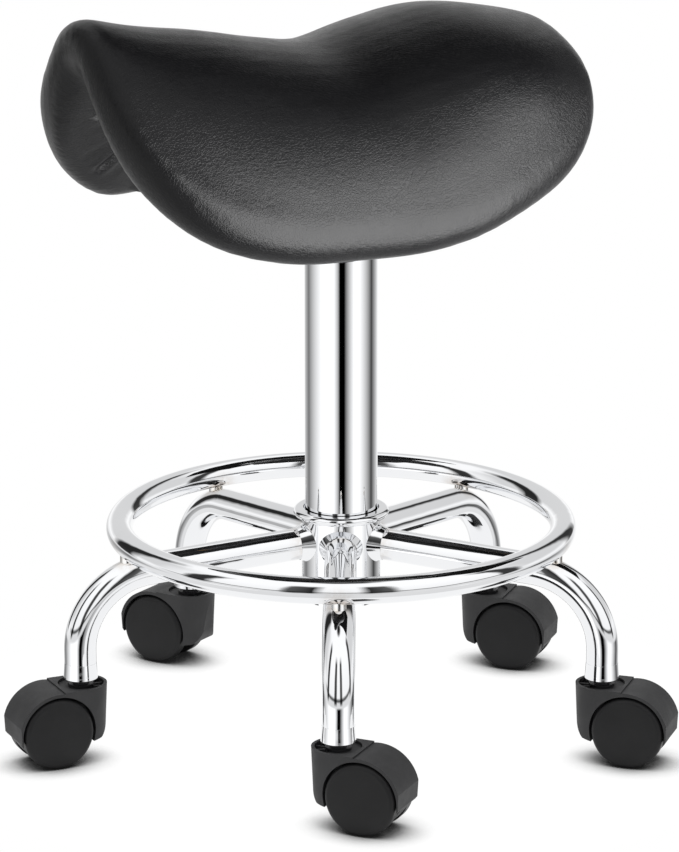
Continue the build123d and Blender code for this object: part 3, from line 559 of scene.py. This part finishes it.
def puff(piece, cap):
    """Inflates the cover a little by cloth simulation, pinned under the seat, and caps how far it moves."""
    rest = coordinates(piece.data)
    off = saddle_coords(rest)[2]
    held = piece.vertex_groups.new(name="held")
    for index in np.nonzero(off < -HELD_BELOW)[0]:
        held.add([int(index)], 1.0, "REPLACE")
    work = piece.modifiers.new("cloth", "CLOTH")
    cloth = work.settings
    cloth.vertex_group_mass = "held"
    cloth.use_pressure = True
    cloth.uniform_pressure_force = 4
    cloth.quality = 5
    cloth.tension_stiffness = 18
    cloth.compression_stiffness = 18
    cloth.bending_stiffness = 1.5
    cloth.effector_weights.gravity = 0
    work.point_cache.frame_start = 1
    work.point_cache.frame_end = CLOTH_FRAMES
    for number in range(1, CLOTH_FRAMES + 1):
        scene.frame_set(number)
    graph = bpy.context.evaluated_depsgraph_get()
    puffed = coordinates(piece.evaluated_get(graph).data)
    piece.modifiers.clear()
    piece.vertex_groups.clear()
    scene.frame_set(1)
    moved = puffed - rest
    length = np.maximum(np.linalg.norm(moved, axis=1), 1e-9)
    moved = moved * (np.minimum(length, cap) / length)[:, None]
    even = smoothed(piece.data, moved, EVEN_ROUNDS)
    set_coordinates(piece.data, rest + even + WRINKLE_SHARE * (moved - even))


def subdivide(piece):
    """Splits every face once, smoothly."""
    work = piece.modifiers.new("subdivide", "SUBSURF")
    work.levels = work.render_levels = 1
    apply_modifiers(piece)


FOLD_COUNT = 46
FOLD_CIRCLE = 165 * MM        # radius at which a fold's angle is turned into a distance
TAUT_SPAN = (-1.5, -0.1)      # headings where the cover is pulled tight and its folds are shallow
TAUT_DEPTH = 0.3
FOLD_RAMP = 16 * MM
DEEP_FOLDS = [        # heading, depth, width, reach in from the rim, slant
    (-0.36, 2.4 * MM, 2.4 * MM, 56 * MM, 0.3), (-0.30, 1.4 * MM, 2.2 * MM, 50 * MM, 0.1),
    (-0.80, 2.2 * MM, 2.4 * MM, 60 * MM, -0.2), (-1.12, 2.8 * MM, 2.4 * MM, 60 * MM, 0.25),
    (-1.04, 1.8 * MM, 2.2 * MM, 56 * MM, -0.15)]


def small_folds(seed):
    """Uneven folds all round the rim, in the same form as DEEP_FOLDS."""
    draw = random.Random(seed)
    folds = []
    for k in range(FOLD_COUNT):
        centre = -math.pi + 2 * math.pi * (k + draw.uniform(-0.35, 0.35)) / FOLD_COUNT
        taut = TAUT_DEPTH if TAUT_SPAN[0] < centre < TAUT_SPAN[1] else 1.0
        folds.append((centre, taut * draw.uniform(0.3, 1.3) * MM, draw.uniform(1.6, 3.2) * MM,
                      draw.uniform(40, 60) * MM, draw.uniform(-0.35, 0.35)))
    return folds


def gathers(piece, seed):
    """Presses the cover's gathers into its wrapped underside: short folds square to the rim."""
    points = coordinates(piece.data)
    normals = np.empty(len(points) * 3)
    piece.data.vertices.foreach_get("normal", normals)
    normals = normals.reshape(-1, 3)
    s, across, off = saddle_coords(points)
    inward = rim_distance(np.clip(s, -1, 1), across)
    under = smooth(-off, 5 * MM, 12 * MM) * (1 - smooth(inward, WRAP_WIDTH - 6 * MM, WRAP_WIDTH))
    heading = np.arctan2(across / SEAT_FLAP, s)
    starts = smooth(inward, 24 * MM, 40 * MM)
    press = np.zeros(len(points))
    for centre, depth, width, reach, slant in small_folds(seed) + DEEP_FOLDS:
        off_centre = np.arctan2(np.sin(heading - centre), np.cos(heading - centre))
        turned = off_centre * FOLD_CIRCLE + slant * inward
        fold = np.exp(-(turned / width) ** 2) - 0.35 * np.exp(-((np.abs(turned) - 2.2 * width) / width) ** 2)
        press += depth * fold * starts * (1 - smooth(inward, reach, reach + FOLD_RAMP))
    set_coordinates(piece.data, points - normals * (press * under)[:, None])


cushion = pad_mesh("seat_cover", START_INSET)
remesh(cushion, VOXEL)
puff(cushion, PUFF_CAP)
subdivide(cushion)
gathers(cushion, seed=7)
for polygon in cushion.data.polygons:
    polygon.use_smooth = True
cushion.data.materials.clear()
cushion.data.materials.append(looks["leatherette"])
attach(cushion, "seat")
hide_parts("seat_cushion")


# ------------------------------------------------------------------ staples round the hem
STAPLE_COUNT = 84
STAPLE_LENGTH = 5.5 * MM
STAPLE_WIDTH = 0.6 * MM
STAPLE_HEIGHT = 0.5 * MM
STAPLE_SUNK = 0.15 * MM
HEM_MARGIN = 6 * MM           # from the hem to the row of staples
STAPLE_CORNERS = ((-1, -1, -1), (1, -1, -1), (1, 1, -1), (-1, 1, -1),
                  (-0.86, -0.6, 1), (0.86, -0.6, 1), (0.86, 0.6, 1), (-0.86, 0.6, 1))
BLOCK_FACES = ((3, 2, 1, 0), (4, 5, 6, 7), (0, 1, 5, 4), (1, 2, 6, 5), (2, 3, 7, 6), (3, 0, 4, 7))


def saddle_point(s, across, off):
    """saddle_place for one point."""
    return Vector(saddle_place(np.array([s]), np.array([across]), np.array([off]))[0])


def hem_point(a):
    """Station and distance across at angle a round the row of staples."""
    reach_s = 1 - (WRAP_WIDTH - HEM_MARGIN) / (SEAT_HALF * END_SHARE)
    reach_across = SEAT_FLAP - WRAP_WIDTH + HEM_MARGIN
    power = 2 / OUTLINE_POWER
    s = math.copysign(abs(math.cos(a)) ** power, math.cos(a)) * reach_s
    return s, math.copysign(abs(math.sin(a)) ** power, math.sin(a)) * reach_across


def staple_row(name, count):
    """Wire staples that hold the wrapped cover to the shell, all in one mesh."""
    work = bmesh.new()
    for k in range(count):
        a = 2 * math.pi * k / count
        s, across = hem_point(a)
        off = -thickness(s) / 2 - SKIN_BELOW - STAPLE_SUNK
        here = saddle_point(s, across, off)
        up = (saddle_point(s, across, off - 2 * MM) - here).normalized()
        run = saddle_point(s - 0.01 * math.sin(a), across + 2 * MM * math.cos(a), off) - here
        run = (run - up * run.dot(up)).normalized()
        side = up.cross(run)
        corners = []
        for x, y, z in STAPLE_CORNERS:
            place = here + (run * x * STAPLE_LENGTH + side * y * STAPLE_WIDTH + up * z * STAPLE_HEIGHT) / 2
            corners.append(work.verts.new(place))
        for face in BLOCK_FACES:
            work.faces.new([corners[i] for i in face])
    bmesh.ops.recalc_face_normals(work, faces=work.faces)
    mesh = mesh_of(name, work)
    mesh.materials.append(looks["steel"])
    return linked(name, mesh)


staples = staple_row("hem_staples", STAPLE_COUNT)
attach(staples, "seat")


# ------------------------------------------------------------------ floor
FLOOR_RADIUS = 0.29
FLOOR_SPOKES = 96
CONTACT_REACH = 30 * MM       # how close to the floor a wheel is when it starts to shade it


def floor_disc(name, radius, spokes):
    """A plain white floor patch that glows evenly, with a painted contact shadow where a wheel comes near
    it.
    """
    work = bmesh.new()
    bmesh.ops.create_circle(work, cap_ends=True, cap_tris=True, segments=spokes, radius=radius)
    mesh = mesh_of(name, work)
    look = Look(name, (0.9, 0.9, 0.9), 0.9, specular=0.0)
    nearby = look.node("ShaderNodeAmbientOcclusion", Distance=CONTACT_REACH)
    nearby.samples = 12
    # Painted contact shadow: ambient occlusion near the wheels dims the floor's glow.
    painted_shadow = look.ranged(nearby.outputs["AO"], 0.30, 0.93, 0.01, 1.0)
    grain = look.ranged(look.noise(400, 2), 0.3, 0.7, 0.99, 1.0)
    glow = look.node("ShaderNodeEmission", Strength=1.03)
    tone = look.node("ShaderNodeCombineColor")
    for socket in tone.inputs[:3]:
        look.put(socket, look.math("MULTIPLY", painted_shadow, grain))
    look.put(glow.inputs["Color"], tone.outputs["Color"])
    look.tree.links.new(glow.outputs["Emission"], look.tree.nodes["Material Output"].inputs["Surface"])
    mesh.materials.append(look.material)
    return linked(name, mesh)


floor_disc("floor", FLOOR_RADIUS, FLOOR_SPOKES)


# ------------------------------------------------------------------ studio: what the chrome reflects
def ramp(tree, value, stops):
    """The value sent through a ramp of grey levels: (position, level) pairs."""
    made = tree.nodes.new("ShaderNodeValToRGB")
    elements = made.color_ramp.elements
    while len(elements) > 1:
        elements.remove(elements[-1])
    elements[0].position = stops[0][0]
    elements[0].color = (stops[0][1],) * 3 + (1,)
    for position, level in stops[1:]:
        elements.new(position).color = (level,) * 3 + (1,)
    tree.links.new(value, made.inputs["Fac"])
    return made.outputs["Color"]


def around(*stops):
    """Ramp stops from (azimuth, level) pairs. Azimuth 0 is the camera's side, positive to its right."""
    return [((a + 180) / 360, v) for a, v in stops]


def above(*stops):
    """Ramp stops from (elevation, level) pairs."""
    return [((e + 90) / 180, v) for e, v in stops]


# Low round the studio: a pale back wall, then shade, a bright panel, the dark camera bay, a panel and shade.
LOW_BAND = around((-180, 0.9), (-125, 0.2), (-60, 1.3), (-25, 1.3), (-10, 0.5), (-5, 0.0), (10, 0.0),
                  (40, 1.2), (60, 1.2), (110, 0.05), (160, 1.0))
BAND_SPAN = above((-24, 0.0), (-20.5, 1.0), (-10.5, 1.0), (-8, 0.0))

# Upright dark gaps between the wall panels: the azimuths of their soft edges, then the level at each side.
WALL_GAPS = ((-142, -136, -122, -114, 0.03, 0.03), (-82, -78, -69, -64, 0.04, 0.03),
             (-30, -26, -14, -8, 0.1, 0.02), (8, 14, 24, 30, 0.03, 0.1),
             (80, 84, 92, 97, 0.05, 0.05), (136, 144, 152, 158, 0.05, 0.05))
GAP_SPAN = above((-7, 0.0), (-3, 1.0), (42, 1.0), (52, 0.0))

FRONT_WALLS = above((-90, 0.78), (-30, 0.82), (-2.5, 0.82), (-1, 0.12), (0.5, 0.12), (3, 1.05),
                    (40, 1.15), (77, 1.15), (82, 0.03), (90, 0.01))
BACK_WALLS = above((-90, 0.78), (-6, 0.90), (0, 1.1), (10, 0.75), (38, 0.75), (50, 1.1),
                   (80, 1.15), (85, 0.03), (90, 0.01))


def wall_gaps():
    """Ramp stops for the gaps, with full light between them."""
    stops = [(-180, 1.0)]
    for left, dark_from, dark_to, right, level_left, level_right in WALL_GAPS:
        stops += [(left, 1.0), (dark_from, level_left), (dark_to, level_right), (right, 1.0)]
    return around(*stops, (180, 1.0))


def studio_world():
    """A white studio: pale walls, a dark gap overhead and a dark camera bay low in front."""
    world = bpy.data.worlds.new("studio")
    scene.world = world
    world.use_nodes = True
    tree = world.node_tree
    tree.nodes.clear()

    def calc(operation, a, b=0.0):
        made = tree.nodes.new("ShaderNodeMath")
        made.operation = operation
        for socket, value in zip(made.inputs, (a, b)):
            if isinstance(value, bpy.types.NodeSocket):
                tree.links.new(value, socket)
            else:
                socket.default_value = value
        return made.outputs["Value"]

    def mix(factor, a, b):
        made = tree.nodes.new("ShaderNodeMix")
        made.data_type = "RGBA"
        for socket, value in ((made.inputs["Factor"], factor), (made.inputs[6], a), (made.inputs[7], b)):
            tree.links.new(value, socket)
        return made.outputs[2]

    direction = tree.nodes.new("ShaderNodeTexCoord").outputs["Generated"]
    parts = tree.nodes.new("ShaderNodeSeparateXYZ")
    tree.links.new(direction, parts.inputs[0])
    x, y, z = parts.outputs
    azimuth = calc("DIVIDE", calc("ARCTAN2", x, calc("MULTIPLY", y, -1.0)), 2 * math.pi)
    turn = calc("ADD", azimuth, 0.5)
    level = calc("ADD", calc("DIVIDE", calc("ARCSINE", z), math.pi), 0.5)
    front = calc("MULTIPLY", y, -1.0)

    front_walls = ramp(tree, level, FRONT_WALLS)
    back_walls = ramp(tree, level, BACK_WALLS)
    facing = ramp(tree, calc("ADD", calc("MULTIPLY", front, 2.5), 0.5), ((0.0, 0.0), (1.0, 1.0)))
    pierced = tree.nodes.new("ShaderNodeMix")
    pierced.data_type = "RGBA"
    pierced.blend_type = "MULTIPLY"
    tree.links.new(ramp(tree, level, GAP_SPAN), pierced.inputs["Factor"])
    tree.links.new(mix(facing, back_walls, front_walls), pierced.inputs[6])
    tree.links.new(ramp(tree, turn, wall_gaps()), pierced.inputs[7])
    low_band = ramp(tree, turn, LOW_BAND)
    in_band = ramp(tree, level, BAND_SPAN)
    surround = mix(in_band, pierced.outputs[2], low_band)

    path = tree.nodes.new("ShaderNodeLightPath")
    seen = tree.nodes.new("ShaderNodeBackground")
    seen.inputs["Color"].default_value = (1, 1, 1, 1)
    seen.inputs["Strength"].default_value = 1.0
    lit = tree.nodes.new("ShaderNodeBackground")
    tree.links.new(surround, lit.inputs["Color"])
    lit.inputs["Strength"].default_value = 1.0
    choose = tree.nodes.new("ShaderNodeMixShader")
    tree.links.new(path.outputs["Is Camera Ray"], choose.inputs["Fac"])
    tree.links.new(lit.outputs[0], choose.inputs[1])
    tree.links.new(seen.outputs[0], choose.inputs[2])
    out = tree.nodes.new("ShaderNodeOutputWorld")
    tree.links.new(choose.outputs[0], out.inputs["Surface"])


LAMP_AIM_Z = 0.25


def softbox(name, azimuth, elevation, distance, size, radiance, glossy=True):
    """A rectangular soft light aimed at the stool. Azimuth 0 is the camera's side, positive to its right."""
    a, e = math.radians(azimuth), math.radians(elevation)
    away = Vector((math.sin(a) * math.cos(e), -math.cos(a) * math.cos(e), math.sin(e)))
    data = bpy.data.lights.new(name, "AREA")
    data.shape = "RECTANGLE"
    data.size, data.size_y = size
    data.energy = radiance * math.pi * size[0] * size[1]
    lamp = bpy.data.objects.new(name, data)
    lamp.location = Vector((0, 0, LAMP_AIM_Z)) + away * distance
    lamp.rotation_euler = away.to_track_quat("Z", "Y").to_euler()
    lamp.visible_camera = False
    lamp.visible_glossy = glossy
    scene.collection.objects.link(lamp)
    return lamp


def light_only(lamp, *pieces):
    """Keeps a light to the given pieces."""
    lit = bpy.data.collections.new(f"lit_by_{lamp.name}")
    for piece in pieces:
        lit.objects.link(piece)
    lamp.light_linking.receiver_collection = lit


def flag(name, low, high, height):
    """A level black card seen in reflections only: it keeps the studio's roof out of the leather."""
    (x0, y0), (x1, y1) = low, high
    corners = [(x0, y0, height), (x0, y1, height), (x1, y1, height), (x1, y0, height)]
    mesh = bpy.data.meshes.new(name)
    mesh.from_pydata(corners, [], [(0, 1, 2, 3)])
    card = linked(name, mesh)
    look = Look(name, (0.01, 0.01, 0.01), 0.9, specular=0.0)
    look.colour(look.blend(look.noise(30), (0.008, 0.008, 0.008), (0.012, 0.012, 0.012)))
    mesh.materials.append(look.material)
    card.visible_camera = card.visible_diffuse = card.visible_transmission = card.visible_shadow = False
    return card


FLAG_LOW = (-0.22, -0.10)
FLAG_HIGH = (0.75, 0.45)
FLAG_Z = 0.86

studio_world()
key = softbox("key_softbox", azimuth=44, elevation=-6, distance=2.6, size=(4.4, 5.0), radiance=13.0)
light_only(key, cushion)
softbox("top_softbox", azimuth=0, elevation=88, distance=2.4, size=(3.0, 3.0), radiance=1.5, glossy=False)
flag("overhead_flag", FLAG_LOW, FLAG_HIGH, FLAG_Z)


# ------------------------------------------------------------------ camera
CAMERA_X = -1.21 * MM
CAMERA_AIM_Z = 220.4 * MM
CAMERA_DISTANCE = 3.0154
CAMERA_TILT = math.radians(15.388)
CAMERA_LENS = 185.3
CAMERA_SENSOR = 36

camera_data = bpy.data.cameras.new("camera")
camera_data.lens = CAMERA_LENS
camera_data.sensor_width = CAMERA_SENSOR
camera = bpy.data.objects.new("camera", camera_data)
back = Vector((0, -math.cos(CAMERA_TILT), math.sin(CAMERA_TILT)))
camera.location = Vector((CAMERA_X, 0, CAMERA_AIM_Z)) + back * CAMERA_DISTANCE
camera.rotation_euler = back.to_track_quat("Z", "Y").to_euler()
scene.collection.objects.link(camera)
scene.camera = camera
